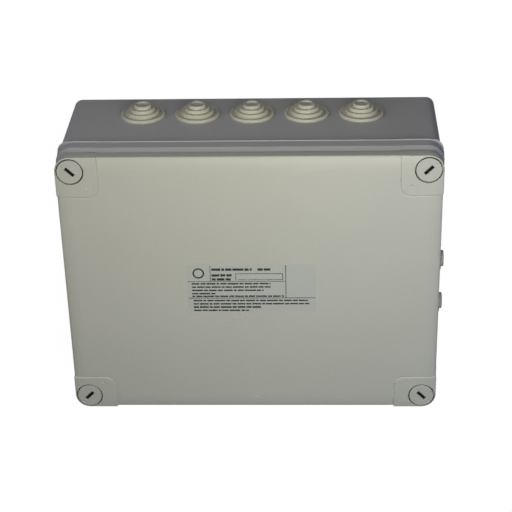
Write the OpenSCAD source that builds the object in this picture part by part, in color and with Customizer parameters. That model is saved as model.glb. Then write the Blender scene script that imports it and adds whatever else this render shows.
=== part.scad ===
// Surface junction box with stepped cable entries, a lid held by four
// quarter-turn screws, and a rail of screw terminals inside.
// The box lies on its back: X runs along its length, Y up its height and
// Z out of the lid. The origin is the middle of the back face.

/* [Box] */
// Length of the box over the collar
box_w = 220; // [183:1:320]
// Height of the box over the collar
box_h = 170; // [141:1:260]
// Depth from the back face to the front of the lid
box_d = 86; // [71:1:130]
// Thickness of the moulded walls and of the back
wall = 2.4; // [2:0.1:3]
// Radius of the upright corners of the base
base_r = 8; // [7:0.5:12]

/* [Collar] */
// How far the collar stands out from the walls
collar_out = 2; // [1:0.1:3]
// Height of the collar along Z
collar_h = 10; // [6:0.5:14]
// Thickness of the sealing tongue that stands on the collar
tongue_t = 1.4; // [1:0.1:1.6]
// Height of the sealing tongue
tongue_h = 1.4; // [1:0.1:2]

/* [Lid] */
// Height of the lid above the collar
lid_h = 8; // [7:0.5:12]
// How far the lid is set back from the collar
lid_inset = 1.3; // [0.8:0.1:1.6]
// Thickness of the lid's panel
lid_t = 2.5; // [2:0.1:3]
// Side of the square pad round each lid screw
pad_size = 23.5; // [20:0.5:30]
// How far the pads stand proud of the panel and of the long edges
pad_proud = 0.4; // [0.2:0.1:0.8]
// Radius of the inner corner of a pad
pad_r = 6; // [3:0.5:9]
// Thickness of the lid's inner rib
rib_t = 1.4; // [1:0.1:2]
// How far the inner rib reaches below the top of the collar
rib_drop = 1; // [0.5:0.1:3]
// Thickness of the sealing strip
gasket_t = 1.6; // [1:0.1:2]

/* [Lid screws] */
// Diameter of the screw heads
head_d = 14.8; // [12:0.1:15]
// Thickness of the screw heads
head_t = 2.9; // [2:0.1:3]
// Diameter of the screw shanks
shank_d = 7.4; // [6:0.1:8]
// Length of the screws below the head
shank_l = 25; // [20:0.5:40]
// Length of the screwdriver slot
slot_l = 6.6; // [5:0.1:9]
// Width of the screwdriver slot
slot_w = 2; // [1.2:0.1:2.5]
// Depth of the screwdriver slot
slot_depth = 1.6; // [1:0.1:2]
// Distance across the two locking lugs
lug_span = 10.4; // [9:0.1:11]
// Height of the locking lugs
lug_t = 3; // [2:0.1:4]
// Diameter of the screw posts in the base
post_d = 14.8; // [13:0.1:15.4]
// Thickness of the seal under each screw head
seal_t = 1.1; // [0.8:0.1:1.2]
// Width of the seal from its hole to its edge
seal_w = 1.4; // [1:0.1:1.6]

/* [Cable entries] */
// Number of entries on each long wall
long_entries = 5; // [3:1:5]
// Spacing of the entries on the long walls
long_pitch = 32; // [29:0.5:34]
// Number of entries on each short wall
short_entries = 2; // [1:1:2]
// Spacing of the entries on the short walls
short_pitch = 30; // [29:0.5:32]
// Distance of the middle of the short rows below the middle of the box
short_drop = 29; // [0:1:30]
// Height of the entry centres above the back face
entry_z = 26; // [20:0.5:36]
// Diameter of the holes in the walls
entry_d = 22.4; // [20:0.1:24]
// How far the outer flange covers the wall round the hole
flange_lip = 1.8; // [1.5:0.1:2.4]
// Thickness of the outer flange
flange_t = 1.6; // [1:0.1:2.2]
// Diameter of the largest step of the cone
cone_d = 19.2; // [17:0.1:20]
// Diameter of the tip
tip_d = 10; // [8:0.1:12]
// Number of steps of the cone, the tip included
step_count = 3; // [2:1:4]
// Height of one step
step_h = 1.85; // [1.4:0.05:2.4]
// Thickness of the rubber
rubber_t = 1.3; // [1:0.1:1.6]

/* [Wall fixings] */
// Distance of the fixing holes from the box ends
fix_inset_x = 25; // [24:0.5:32]
// Distance of the fixing holes from the box sides
fix_inset_y = 20; // [18:0.5:28]
// Diameter of the fixing holes
fix_d = 5.2; // [4:0.1:6]
// Diameter of the pad round a fixing hole
fix_pad_d = 12; // [10:0.5:14]
// Height of the pad above the floor
fix_pad_h = 2; // [1:0.5:3]

/* [Rail] */
// Overall width of the mounting rail
rail_w = 35; // [30:0.5:35]
// Height of the mounting rail
rail_h = 7.5; // [6:0.5:15]
// Thickness of the rail's sheet
rail_t = 1; // [0.8:0.1:1.5]
// Width of each flange of the rail
rail_flange = 5; // [4:0.5:6]
// Gap between the rail and the end walls
rail_end_gap = 20; // [16:0.5:24]
// Height of the rail's pillars above the floor
pillar_h = 5.6; // [4:0.1:12]
// Diameter of the rail's pillars
pillar_d = 10; // [8:0.5:12]
// Distance of the pillars from the rail's ends
pillar_inset = 14; // [10:0.5:18]
// Length of the oblong holes in the rail
oblong_l = 15; // [10:0.5:18]
// Width of the oblong holes in the rail
oblong_w = 5.2; // [4.2:0.1:6.2]
// Distance between the oblong holes
oblong_pitch = 25; // [20:1:30]
// Shank diameter of the rail screws
rail_screw_d = 3.6; // [3:0.1:4]
// Head diameter of the rail screws
rail_head_d = 7.6; // [6:0.1:9]

/* [Terminals] */
// Number of terminal blocks
block_count = 10; // [4:1:10]
// Width of one terminal block along the rail
block_w = 8; // [7:0.1:10]
// Half the length of a terminal block across the rail
block_half = 22; // [20:0.5:24]
// Height of a terminal block above the rail
block_h = 34; // [30:0.5:40]
// Height of the shoulders where the wires go in
shoulder_h = 19; // [16:0.5:22]
// Distance of each clamp from the middle of its block
clamp_y = 13; // [12:0.5:15]
// Diameter of the wire holes
wire_d = 4.6; // [3.6:0.1:5]
// Diameter of the holes above the clamp screws
access_d = 4.6; // [4:0.1:5]
// Width of the clamp cages
cage_w = 5.2; // [4.6:0.1:5.6]
// Thickness of the end plate
end_plate_t = 1.6; // [1:0.1:2.5]
// Width of the end stops along the rail
stop_w = 9; // [7:0.5:12]
// Height of the end stops above the rail
stop_h = 22; // [14:0.5:28]

/* [Label] */
// Length of the label
label_w = 74; // [50:1:100]
// Height of the label
label_h = 31; // [20:1:50]
// Thickness of the label
label_t = 0.15; // [0.1:0.05:0.3]

/* [Clearances] */
// Gap between parts that fit into each other
fit_gap = 0.1; // [0.05:0.05:0.2]
// Gap between the lid and the base
lid_gap = 0.3; // [0.2:0.05:0.35]
// Running clearance of the screws in the lid
screw_play = 0.1; // [0.05:0.01:0.1]
// Visible gap round the screw heads
head_gap = 0.4; // [0.2:0.05:0.5]

/* [Hidden] */
$fn = 64;
// How far a cutting shape runs past the face it cuts
past = 1;

// Base: outer and inner sizes, and the heights of its edges
base_w = box_w - 2 * collar_out;
base_h = box_h - 2 * collar_out;
inner_w = base_w - 2 * wall;
inner_h = base_h - 2 * wall;
inner_r = base_r - wall;
collar_r = base_r + collar_out;
collar_top = box_d - lid_h;
tongue_top = collar_top + tongue_h;

// Lid: the heights of its faces
panel_top = box_d - pad_proud;
panel_under = panel_top - lid_t;
lid_w = box_w - 2 * lid_inset;
lid_l = box_h - 2 * lid_inset;
lid_r = collar_r - lid_inset;
lid_bottom = collar_top + fit_gap;
rib_bottom = collar_top - rib_drop;
rib_gap = lid_gap + fit_gap;
groove_roof = tongue_top + fit_gap + gasket_t + fit_gap;

// Lid screws: they share the centres of the base's round corners
screw_x = base_w / 2 - base_r;
screw_y = base_h / 2 - base_r;
screw_turn = [1, 1, -1, -1];
screw_rise = [1, -1, 1, -1];
head_sink = 0.2;
head_top = box_d - head_sink;
head_under = head_top - head_t;
seat_z = head_under - fit_gap;
seal_r = shank_d / 2 + 2 * screw_play + seal_w;
boss_wall = 3.8;
boss_bottom = rib_bottom - 3;
post_top = boss_bottom - 0.5;
lug_room = lid_gap;
lug_w = 3;
post_bore_z = head_under - shank_l - 3;

// Cable entries: middle of each hole, the wall's outer face and its angle
hole_r = entry_d / 2;
neck_r = hole_r - fit_gap / 2;
flange_r = hole_r + flange_lip;
inner_lip = 1;
inner_lip_t = 1.6;
lip_gap = 0.5;
step_drop = (cone_d - tip_d) / 2 / (step_count - 1);
tip_z = flange_t + step_count * step_h;
dimple_r = tip_d / 2 - 1.7;
dimple_depth = 0.9;
// The rows close up, or move back to the middle, where the screw posts leave them less room
lip_r = hole_r + inner_lip;
post_reach = post_d / 2 + lip_gap + lip_r;
long_step = min(long_pitch, 2 * (screw_x - post_reach) / (long_entries - 1));
short_span = (short_entries - 1) * short_pitch;
short_mid = min(short_drop, screw_y - post_reach - short_span / 2);
long_offsets = [for (i = [0:long_entries - 1]) (i - (long_entries - 1) / 2) * long_step];
short_offsets = [for (i = [0:short_entries - 1]) i * short_pitch - short_span / 2 - short_mid];
entry_places = concat(
    [for (x = long_offsets) [x, base_h / 2, 180]],
    [for (x = long_offsets) [x, -base_h / 2, 0]],
    [for (y = short_offsets) [base_w / 2, y, 90]],
    [for (y = short_offsets) [-base_w / 2, y, 270]]
);
entry_count = len(entry_places);

// Wall fixings
fix_x = box_w / 2 - fix_inset_x;
fix_y = box_h / 2 - fix_inset_y;

// Rail and its pillars
rail_l = inner_w - 2 * rail_end_gap;
rail_z = wall + pillar_h;
rail_top = rail_z + rail_h;
pillar_x = rail_l / 2 - pillar_inset;
pilot_r = rail_screw_d / 2 + fit_gap;
rail_head_t = 2.2;
oblong_count = floor((rail_l / 2 - 2 * pillar_inset) / oblong_pitch);

// Terminal row: it is centred on the rail
row_w = block_count * block_w + end_plate_t;
row_x = -row_w / 2;
hook_t = 2;
hook_reach = 1.6;
hook_drop = rail_t + fit_gap;
foot_y = rail_w / 2 + fit_gap;
cage_half = 3.4;
cage_h = 10;
cage_z = 7;
wire_z = cage_z + 3.6;
bar_w = 3.6;
bar_t = 1.2;
bar_z = cage_z + cage_h - 2 * bar_t;
clamp_screw_d = 3;
clamp_head_d = 4;
clamp_head_t = 2;
clamp_head_z = cage_z + cage_h + 1.5;
stop_screw_r = 1.8;
stop_head_r = 3;
stop_head_t = 2;

function two_digits(i) = str(i < 10 ? "0" : "", i);
function numbered(stem, count) = [for (i = [1:count]) str(stem, two_digits(i))];

SCREWS = [for (i = [1:4]) str("lid_screw_", i)];
GROMMETS = numbered("entry_grommet_", entry_count);
BLOCKS = numbered("terminal_block_", block_count);

// ---- Outlines and slabs that several parts share ----

// Rectangle with round corners
module rounded(w, h, r) {
    square([w - 2 * r, h], center = true);
    square([w, h - 2 * r], center = true);
    for (x = [-1, 1], y = [-1, 1])
        translate([x * (w / 2 - r), y * (h / 2 - r)]) circle(r);
}

// Slab with round corners between two heights
module slab(w, h, r, z0, z1) {
    translate([0, 0, z0]) linear_extrude(z1 - z0) rounded(w, h, r);
}

// Slab whose straight edges lie back between its four corner zones
module cornered_slab(w, h, r, z0, z1) {
    difference() {
        slab(w, h, r, z0, z1);
        for (side = [-1, 1]) {
            translate([0, side * h / 2, (z0 + z1) / 2])
                cube([w - 2 * pad_size, 2 * pad_proud, z1 - z0 + past], center = true);
            translate([side * w / 2, 0, (z0 + z1) / 2])
                cube([2 * pad_proud, h - 2 * pad_size, z1 - z0 + past], center = true);
        }
    }
}

// Upright cylinder between two heights
module rod(r, z0, z1) {
    translate([0, 0, z0]) cylinder(r = r, h = z1 - z0);
}

module at_screws() {
    for (i = [0:3]) at_screw(i) children();
}

// One screw's place, turned so that +X points at the box's corner
module at_screw(i) {
    translate([screw_turn[i] * screw_x, screw_rise[i] * screw_y, 0])
        rotate([0, 0, atan2(screw_rise[i], screw_turn[i])]) children();
}

// One entry's place: local Z points out of the wall
module at_entry(i) {
    place = entry_places[i];
    translate([place[0], place[1], entry_z])
        rotate([0, 0, place[2]]) rotate([90, 0, 0]) children();
}

module at_fixings() {
    for (x = [-1, 1], y = [-1, 1]) translate([x * fix_x, y * fix_y, 0]) children();
}

module at_pillars() {
    for (x = [-1, 1]) translate([x * pillar_x, 0, 0]) children();
}

// ---- Enclosure ----

// Moulded tray with the collar, the sealing tongue and all fixing points
module base() color("#8b8c8f") difference() {
    union() {
        difference() {
            union() {
                slab(base_w, base_h, base_r, 0, collar_top);
                cornered_slab(box_w, box_h, collar_r, collar_top - collar_h, collar_top);
                slab(inner_w + 2 * tongue_t, inner_h + 2 * tongue_t, inner_r + tongue_t,
                     collar_top - past, tongue_top);
            }
            slab(inner_w, inner_h, inner_r, wall, tongue_top + past);
        }
        at_screws() rod(post_d / 2, wall / 2, post_top);
        at_fixings() rod(fix_pad_d / 2, wall / 2, wall + fix_pad_h);
        at_pillars() rod(pillar_d / 2, wall / 2, rail_z);
    }
    at_screws() rod(lug_span / 2 + lug_room, post_bore_z, post_top + past);
    at_fixings() rod(fix_d / 2, -past, wall + fix_pad_h + past);
    at_pillars() rod(pilot_r, wall, rail_z + past);
    for (i = [0:entry_count - 1]) at_entry(i) rod(hole_r, -wall - past, past);
}

// Moulded lid with its skirt, sealing groove, screw bosses and corner pads
module lid() color("#b8b5a6") difference() {
    union() {
        difference() {
            union() {
                cornered_slab(lid_w, lid_l, lid_r, lid_bottom, panel_top);
                slab(inner_w - 2 * rib_gap, inner_h - 2 * rib_gap, inner_r - rib_gap,
                     rib_bottom, lid_bottom + past);
            }
            sealing_groove();
            slab(inner_w - 2 * rib_gap - 2 * rib_t, inner_h - 2 * rib_gap - 2 * rib_t,
                 inner_r - rib_gap - rib_t, rib_bottom - past, panel_under);
        }
        corner_pads();
        intersection() {
            at_screws() rod(shank_d / 2 + boss_wall, boss_bottom, groove_roof);
            slab(inner_w - 2 * rib_gap, inner_h - 2 * rib_gap, inner_r - rib_gap,
                 boss_bottom - past, groove_roof + past);
        }
    }
    at_screws() {
        rod(head_d / 2 + head_gap, seat_z, box_d + past);
        rod(seal_r + fit_gap, seat_z - seal_t, seat_z + past);
        rod(shank_d / 2 + screw_play, boss_bottom - past, box_d + past);
    }
}

// Groove in the lid that takes the tongue and holds the sealing strip
module sealing_groove() difference() {
    groove_out = tongue_t + lid_gap;
    slab(inner_w + 2 * groove_out, inner_h + 2 * groove_out, inner_r + groove_out,
         rib_bottom - past, groove_roof);
    slab(inner_w - 2 * rib_gap, inner_h - 2 * rib_gap, inner_r - rib_gap,
         rib_bottom - 2 * past, groove_roof + past);
}

// Square pads round the lid screws, each with one round inner corner
module corner_pads() intersection() {
    slab(lid_w, lid_l, lid_r, panel_top - past, box_d);
    for (x = [-1, 1], y = [-1, 1]) scale([x, y, 1]) translate([lid_w / 2, lid_l / 2, panel_top - past / 2])
        linear_extrude(2 * past) {
            translate([-pad_size, pad_r - pad_size]) square([pad_size + past, pad_size + past]);
            translate([pad_r - pad_size, -pad_size]) square([pad_size + past, pad_size + past]);
            translate([pad_r - pad_size, pad_r - pad_size]) circle(pad_r);
        }
}

// Sealing strip that lies in the lid's groove
module lid_gasket() color("#3a3b3c") difference() {
    strip_out = tongue_t + lid_gap - fit_gap;
    strip_in = rib_gap - fit_gap;
    slab(inner_w + 2 * strip_out, inner_h + 2 * strip_out, inner_r + strip_out,
         groove_roof - gasket_t, groove_roof);
    slab(inner_w - 2 * strip_in, inner_h - 2 * strip_in, inner_r - strip_in,
         groove_roof - gasket_t - past, groove_roof + past);
}

// Captive quarter-turn screw: slotted head, plain shank and two locking lugs
module lid_screw(i) color("#aeaca0") at_screw(i) difference() {
    union() {
        rod(head_d / 2, head_under, head_top);
        rod(shank_d / 2, head_under - shank_l, head_under + past / 2);
        intersection() {
            rod(lug_span / 2, head_under - shank_l, head_under - shank_l + lug_t);
            translate([0, 0, head_under - shank_l + lug_t / 2])
                cube([lug_span + past, lug_w, lug_t + past], center = true);
        }
    }
    translate([0, 0, head_top]) cube([slot_l, slot_w, 2 * slot_depth], center = true);
}

// Flat rubber rings under the screw heads
module screw_seals() color("#2e2f30") at_screws() difference() {
    rod(seal_r, seat_z - seal_t, seat_z);
    rod(seal_r - seal_w, seat_z - seal_t - past, seat_z + past);
}

// Plain rating plate, stuck on the lid's panel
module label() color("#b3b3a9") {
    slab(label_w, label_h, 1, panel_top, panel_top + label_t);
}

// ---- Cable entries ----

// Rubber entry: inner lip, neck in the wall, flange and a hollow stepped cone
module entry_grommet(i) color("#b4af9b") at_entry(i) difference() {
    union() {
        rod(lip_r, -wall - inner_lip_t, -wall);
        rod(neck_r, -wall - inner_lip_t / 2, flange_t / 2);
        rod(flange_r, 0, flange_t);
        for (k = [1:step_count]) rod(step_r(k), flange_t / 2, flange_t + k * step_h);
    }
    rod(step_r(1) - rubber_t, -wall - inner_lip_t - past, step_roof(1));
    for (k = [2:step_count]) rod(step_r(k) - rubber_t, 0, step_roof(k));
    rod(dimple_r, tip_z - dimple_depth, tip_z + past);
}

// Radius of a step of the cone, and the height of the hollow inside it
function step_r(k) = cone_d / 2 - (k - 1) * step_drop;
function step_roof(k) = flange_t + k * step_h - rubber_t - (k == step_count ? dimple_depth : 0);

// ---- Rail and terminals ----

// Top-hat rail with a row of oblong holes
module din_rail() color("#c4c8ca") difference() {
    translate([-rail_l / 2, 0, rail_z]) rotate([90, 0, 90]) linear_extrude(rail_l) {
        hat_w = rail_w - 2 * rail_flange + 2 * rail_t;
        translate([-hat_w / 2, 0]) square([hat_w, rail_t]);
        for (side = [0, 1]) mirror([side, 0]) {
            translate([hat_w / 2 - rail_t, 0]) square([rail_t, rail_h]);
            translate([hat_w / 2 - rail_t, rail_h - rail_t]) square([rail_flange, rail_t]);
        }
    }
    for (k = [-oblong_count:oblong_count]) translate([k * oblong_pitch, 0, rail_z]) oblong();
    at_pillars() translate([0, 0, rail_z]) oblong();
}

// Cutter for one oblong hole
module oblong() translate([0, 0, -past]) linear_extrude(rail_t + 2 * past) {
    square([oblong_l - oblong_w, oblong_w], center = true);
    for (x = [-1, 1]) translate([x * (oblong_l - oblong_w) / 2, 0]) circle(oblong_w / 2);
}

// Pan-head screws that hold the rail on its pillars
module rail_screws() color("#d2d4d6") at_pillars() difference() {
    seat = rail_z + rail_t;
    union() {
        rod(rail_head_d / 2, seat, seat + rail_head_t);
        rod(rail_screw_d / 2, wall + past, seat + past);
    }
    translate([0, 0, seat + rail_head_t]) cube([rail_head_d + past, 1, 2], center = true);
}

// Foot that hooks round both flanges of the rail, drawn across the rail
module foot_outline(top) {
    translate([-foot_y - hook_t, fit_gap]) square([2 * (foot_y + hook_t), top - fit_gap]);
    for (side = [0, 1]) mirror([side, 0]) {
        translate([foot_y, -hook_drop - hook_reach]) square([hook_t, hook_drop + hook_reach + past]);
        translate([foot_y - hook_reach, -hook_drop - hook_reach]) square([hook_reach + past, hook_reach]);
    }
}

// Section of a terminal block: foot, two shoulders and a raised middle
module block_outline() {
    foot_outline(shoulder_h / 2);
    polygon([
        [-block_half, 4], [block_half, 4], [block_half, shoulder_h],
        [clamp_y + 5, shoulder_h + 2], [clamp_y + 3.6, block_h - 1.5], [clamp_y + 2.4, block_h],
        [-clamp_y - 2.4, block_h], [-clamp_y - 3.6, block_h - 1.5], [-clamp_y - 5, shoulder_h + 2],
        [-block_half, shoulder_h]
    ]);
}

// Prism along the rail from x0, with its section drawn across the rail
module along_rail(x0, length) {
    translate([x0, 0, rail_top]) rotate([90, 0, 90]) linear_extrude(length) children();
}

// Middle of one block's width, and of an end stop's
function block_x(i) = row_x + (i + 0.5) * block_w;
function stop_x(side) = side * (stop_w / 2 - row_x);

module at_clamps(i) {
    for (side = [-1, 1]) translate([block_x(i), side * clamp_y, rail_top]) children();
}

// Row colours: grey line terminals, one blue neutral and one green earth
function block_colour(i) = i == block_count - 1 ? "#3f8f4a" : i == block_count - 2 ? "#3d78b5" : "#9a9c9d";

// Housing with a pocket, a wire hole and a screwdriver hole for each clamp
module terminal_block(i) color(block_colour(i)) difference() {
    along_rail(row_x + i * block_w + fit_gap / 2, block_w - fit_gap) block_outline();
    at_clamps(i) {
        pocket_z = cage_z - fit_gap;
        pocket_h = cage_h + 2 * fit_gap;
        translate([0, 0, pocket_z + pocket_h / 2])
            cube([cage_w + 2 * fit_gap, 2 * (cage_half + fit_gap), pocket_h], center = true);
        rod(access_d / 2, pocket_z + pocket_h / 2, block_h + past);
    }
    translate([block_x(i), 0, rail_top + bar_z + bar_t / 2])
        cube([bar_w + 2 * fit_gap, 2 * clamp_y, bar_t + 2 * fit_gap], center = true);
    for (side = [-1, 1]) translate([block_x(i), side * clamp_y, rail_top + wire_z])
        rotate([-90 * side, 0, 0]) rod(wire_d / 2, 0, block_half);
}

// Metal clamps: two cages and the bar between them, for every block
module clamp_cages() color("#c9b98a") for (i = [0:block_count - 1]) difference() {
    union() {
        at_clamps(i) translate([-cage_w / 2, -cage_half, cage_z]) cube([cage_w, 2 * cage_half, cage_h]);
        translate([block_x(i) - bar_w / 2, -clamp_y, rail_top + bar_z]) cube([bar_w, 2 * clamp_y, bar_t]);
    }
    for (side = [-1, 1]) translate([block_x(i), side * clamp_y, rail_top + wire_z])
        rotate([90, 0, 0]) translate([0, 0, -block_half / 2]) cylinder(r = wire_d / 2 - 0.3, h = block_half);
    at_clamps(i) rod(clamp_screw_d / 2 + fit_gap, wire_z, cage_z + cage_h + past);
}

// Slotted clamp screws, two in each block
module clamp_screws() color("#d6d3c4") for (i = [0:block_count - 1]) at_clamps(i) slotted_screw();

module slotted_screw() difference() {
    union() {
        rod(clamp_head_d / 2, clamp_head_z, clamp_head_z + clamp_head_t);
        rod(clamp_screw_d / 2, wire_z + 1, clamp_head_z + past);
    }
    translate([0, 0, clamp_head_z + clamp_head_t]) cube([clamp_head_d + past, 0.8, 2], center = true);
}

// Thin plate that closes the open side of the last block
module end_plate() color("#9a9c9d")
    along_rail(row_x + block_count * block_w + fit_gap / 2, end_plate_t - fit_gap) block_outline();

// Clip that keeps the row in place, with a screw down through its middle
module end_stop(side) color("#85888a") difference() {
    x0 = side < 0 ? row_x - stop_w : -row_x;
    along_rail(x0 + fit_gap / 2, stop_w - fit_gap) {
        foot_outline(stop_h / 2);
        polygon([[-foot_y - hook_t, 2], [foot_y + hook_t, 2], [foot_y - 6, stop_h], [6 - foot_y, stop_h]]);
    }
    translate([stop_x(side), 0, rail_top]) {
        rod(stop_screw_r + fit_gap, -past, stop_h + past);
        rod(stop_head_r + fit_gap, stop_h - stop_head_t - fit_gap, stop_h + past);
    }
}

// Screws of the two end stops
module stop_screws() color("#d6d3c4") for (side = [-1, 1]) translate([stop_x(side), 0, rail_top])
    difference() {
        union() {
            rod(stop_head_r, stop_h - stop_head_t, stop_h);
            rod(stop_screw_r, 0, stop_h - stop_head_t / 2);
        }
        translate([0, 0, stop_h]) cube([2 * stop_head_r + past, 1, 2], center = true);
    }

// ---- One line for each node ----
base();
lid();
lid_gasket();
for (i = [0:3]) lid_screw(i);
screw_seals();
label();
for (i = [0:entry_count - 1]) entry_grommet(i);
din_rail();
rail_screws();
for (i = [0:block_count - 1]) terminal_block(i);
clamp_cages();
clamp_screws();
end_plate();
end_stop(-1);  // end_stop_left
end_stop(1);  // end_stop_right
stop_screws();
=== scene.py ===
"""Surface junction box, built up as it is put together: camera, table and lights, then the moulded base, its
rubber entries, the rail with its terminals, and last the lid with its screws, seals and rating plate.

All shapes are worked out in millimetres and turned into metres when a piece is made.
"""
from math import atan2, degrees, pi, radians

import bpy
import numpy as np
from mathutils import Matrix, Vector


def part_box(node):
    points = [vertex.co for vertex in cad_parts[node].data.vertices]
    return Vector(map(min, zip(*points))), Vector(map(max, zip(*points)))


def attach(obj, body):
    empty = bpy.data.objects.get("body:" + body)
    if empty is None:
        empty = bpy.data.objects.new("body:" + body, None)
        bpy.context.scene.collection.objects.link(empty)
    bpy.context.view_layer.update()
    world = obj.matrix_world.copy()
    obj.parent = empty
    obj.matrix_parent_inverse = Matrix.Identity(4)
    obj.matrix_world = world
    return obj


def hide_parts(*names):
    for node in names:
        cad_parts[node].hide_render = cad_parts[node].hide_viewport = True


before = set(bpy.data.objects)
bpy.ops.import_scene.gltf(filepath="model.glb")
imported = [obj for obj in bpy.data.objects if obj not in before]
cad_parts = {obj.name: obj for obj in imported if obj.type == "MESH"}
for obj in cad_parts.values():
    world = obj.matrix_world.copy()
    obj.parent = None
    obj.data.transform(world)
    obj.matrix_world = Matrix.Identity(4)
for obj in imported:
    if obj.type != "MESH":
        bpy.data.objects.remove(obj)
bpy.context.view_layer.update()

scene = bpy.context.scene


# ---- Camera ----
# A long lens that looks onto the lid from beyond its upper edge, tilted by 29 degrees and hardly rolled.
camera = bpy.data.objects.new("camera", bpy.data.cameras.new("camera"))
camera.data.lens = 106.7
camera.location = (0.0392, 0.4433, 0.8431)
camera.rotation_euler = (radians(-29.16), radians(1.98), radians(-1.36))
scene.collection.objects.link(camera)
scene.camera = camera
scene.view_settings.view_transform = "Standard"


# ---- Table ----
# A plain sheet that the box lies on. It glows white to the camera, as a lit backdrop does, and only faintly
# where it is mirrored.
def node(tree, kind, inputs=(), **fields):
    """One shader node: fields are its own settings, inputs a value or another output for each socket."""
    made = tree.nodes.new(kind)
    for field, value in fields.items():
        setattr(made, field, value)
    for socket, value in dict(inputs).items():
        if isinstance(value, bpy.types.NodeSocket):
            tree.links.new(value, made.inputs[socket])
        else:
            made.inputs[socket].default_value = value
    return made


def new_material(name, **constants):
    """A material with an empty Principled shader, and the constants set on that shader's own sockets."""
    material = bpy.data.materials.new(name)
    material.use_nodes = True
    shader = material.node_tree.nodes["Principled BSDF"]
    for socket, value in constants.items():
        shader.inputs[socket.replace("_", " ")].default_value = value
    return material, material.node_tree, shader


paper, paper_tree, paper_shader = new_material("table_paper", Base_Color=(0.10, 0.10, 0.10, 1), Roughness=0.9,
                                               Emission_Color=(1, 1, 1, 1))
seen = node(paper_tree, "ShaderNodeLightPath").outputs
mirrored = node(paper_tree, "ShaderNodeMath", {0: seen["Is Glossy Ray"], 1: 0.20}, operation="MULTIPLY")
glow = node(paper_tree, "ShaderNodeMath", {0: seen["Is Camera Ray"], 1: 0.97, 2: mirrored.outputs[0]},
            operation="MULTIPLY_ADD")
paper_tree.links.new(glow.outputs[0], paper_shader.inputs["Emission Strength"])
table_half = 3.0
table_mesh = bpy.data.meshes.new("table")
table_mesh.from_pydata([(-table_half, -table_half, 0), (table_half, -table_half, 0),
                        (table_half, table_half, 0), (-table_half, table_half, 0)], [], [(0, 1, 2, 3)])
table_mesh.materials.append(paper)
table = bpy.data.objects.new("table", table_mesh)
scene.collection.objects.link(table)


# ---- Lights ----
# A warm soft lamp hangs over the upper right of the lid, with a weak blue one beside it. A wide one fills
# in from the upper left, a cool one from the lower right, and a last one lies low in front of the lower
# wall.
def soft_light(name, size, power, place, aim, colour):
    """A square area lamp of the given side, turned to face the aim point."""
    lamp = bpy.data.lights.new(name, "AREA")
    lamp.shape = "SQUARE"
    lamp.size, lamp.energy, lamp.color = size, power, colour
    holder = bpy.data.objects.new(name, lamp)
    holder.location = place
    direction = np.array(aim) - np.array(place)
    flat = np.hypot(direction[0], direction[1])
    holder.rotation_euler = (atan2(flat, -direction[2]), 0, atan2(-direction[0], direction[1]))
    holder.visible_camera = False
    scene.collection.objects.link(holder)


soft_light("key_light", 0.22, 1.06, (0.08, 0.145, 0.42), (0.0, 0.05, 0.08), (1.0, 0.965, 0.67))
soft_light("right_fill", 0.30, 0.40, (0.22, 0.14, 0.42), (0.06, 0.03, 0.08), (0.15, 0.32, 1.0))
soft_light("side_fill", 0.5, 1.34, (-0.42, 0.42, 0.42), (0, 0, 0.05), (0.90, 0.905, 1.0))
soft_light("low_fill", 0.8, 0.62, (0.30, -0.60, 0.60), (0, 0, 0.05), (0.26, 0.46, 1.0))
soft_light("front_fill", 0.6, 1.0, (0.05, -0.75, 0.10), (0, 0, 0.03), (1.0, 0.96, 0.86))


# ---- Base ----
# The tray, moulded in pale grey thermoplastic: walls, back, collar and sealing tongue in one shot, with a
# screw post in each corner, four pads for the wall fixings and two pillars for the rail. The entries' holes
# are bored through.
def right_of(direction):
    return np.array((direction[1], -direction[0]))


def filleted(corners, closed=True, hold=0.12, step=15):
    """Outline through corners (x, y, radius), each corner turned into an arc of its radius.

    An arc starts radius * tan(half the turn) before its corner and is centred one radius to the inside. A
    pair of holding points just outside each arc keeps the flat stretch beside it flat. Gives the points
    and, at each, the normal to the right of the way the outline runs; at a sharp corner the normal is
    stretched to the mitre.
    """
    count = len(corners)
    spot = np.array([c[:2] for c in corners], float)
    radius = np.array([c[2] for c in corners], float)
    leave = np.roll(spot, -1, 0) - spot
    length = np.hypot(*leave.T)
    leave = leave / length[:, None]
    arrive = np.roll(leave, 1, 0)
    if not closed:
        arrive[0], leave[-1], radius[0], radius[-1] = leave[0], arrive[-1], 0, 0
    turn = np.arctan2(arrive[:, 0] * leave[:, 1] - arrive[:, 1] * leave[:, 0], (arrive * leave).sum(1))
    reach = radius * np.tan(np.abs(turn) / 2)
    spare = np.clip(length - reach - np.roll(reach, -1), 0, None) / 3
    points, normals = [], []
    for k in range(count):
        start, end = spot[k] - arrive[k] * reach[k], spot[k] + leave[k] * reach[k]
        first = right_of(arrive[k])
        if reach[k] < 1e-6:
            mitre = (first + right_of(leave[k])) / (1 + arrive[k] @ leave[k])
            points.append(spot[k:k + 1])
            normals.append(mitre[None])
            continue
        angle = turn[k] * np.linspace(0, 1, max(2, round(degrees(abs(turn[k])) / step)) + 1)
        swing = np.stack([first[0] * np.cos(angle) - first[1] * np.sin(angle),
                          first[0] * np.sin(angle) + first[1] * np.cos(angle)], 1)
        side = np.sign(turn[k]) * radius[k]
        arc = start - first * side + swing * side
        before, after = min(hold, spare[k - 1]), min(hold, spare[k])
        points += [(start - arrive[k] * before)[None], arc, (end + leave[k] * after)[None]]
        normals += [swing[:1], swing, swing[-1:]]
    return np.concatenate(points), np.concatenate(normals)


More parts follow.
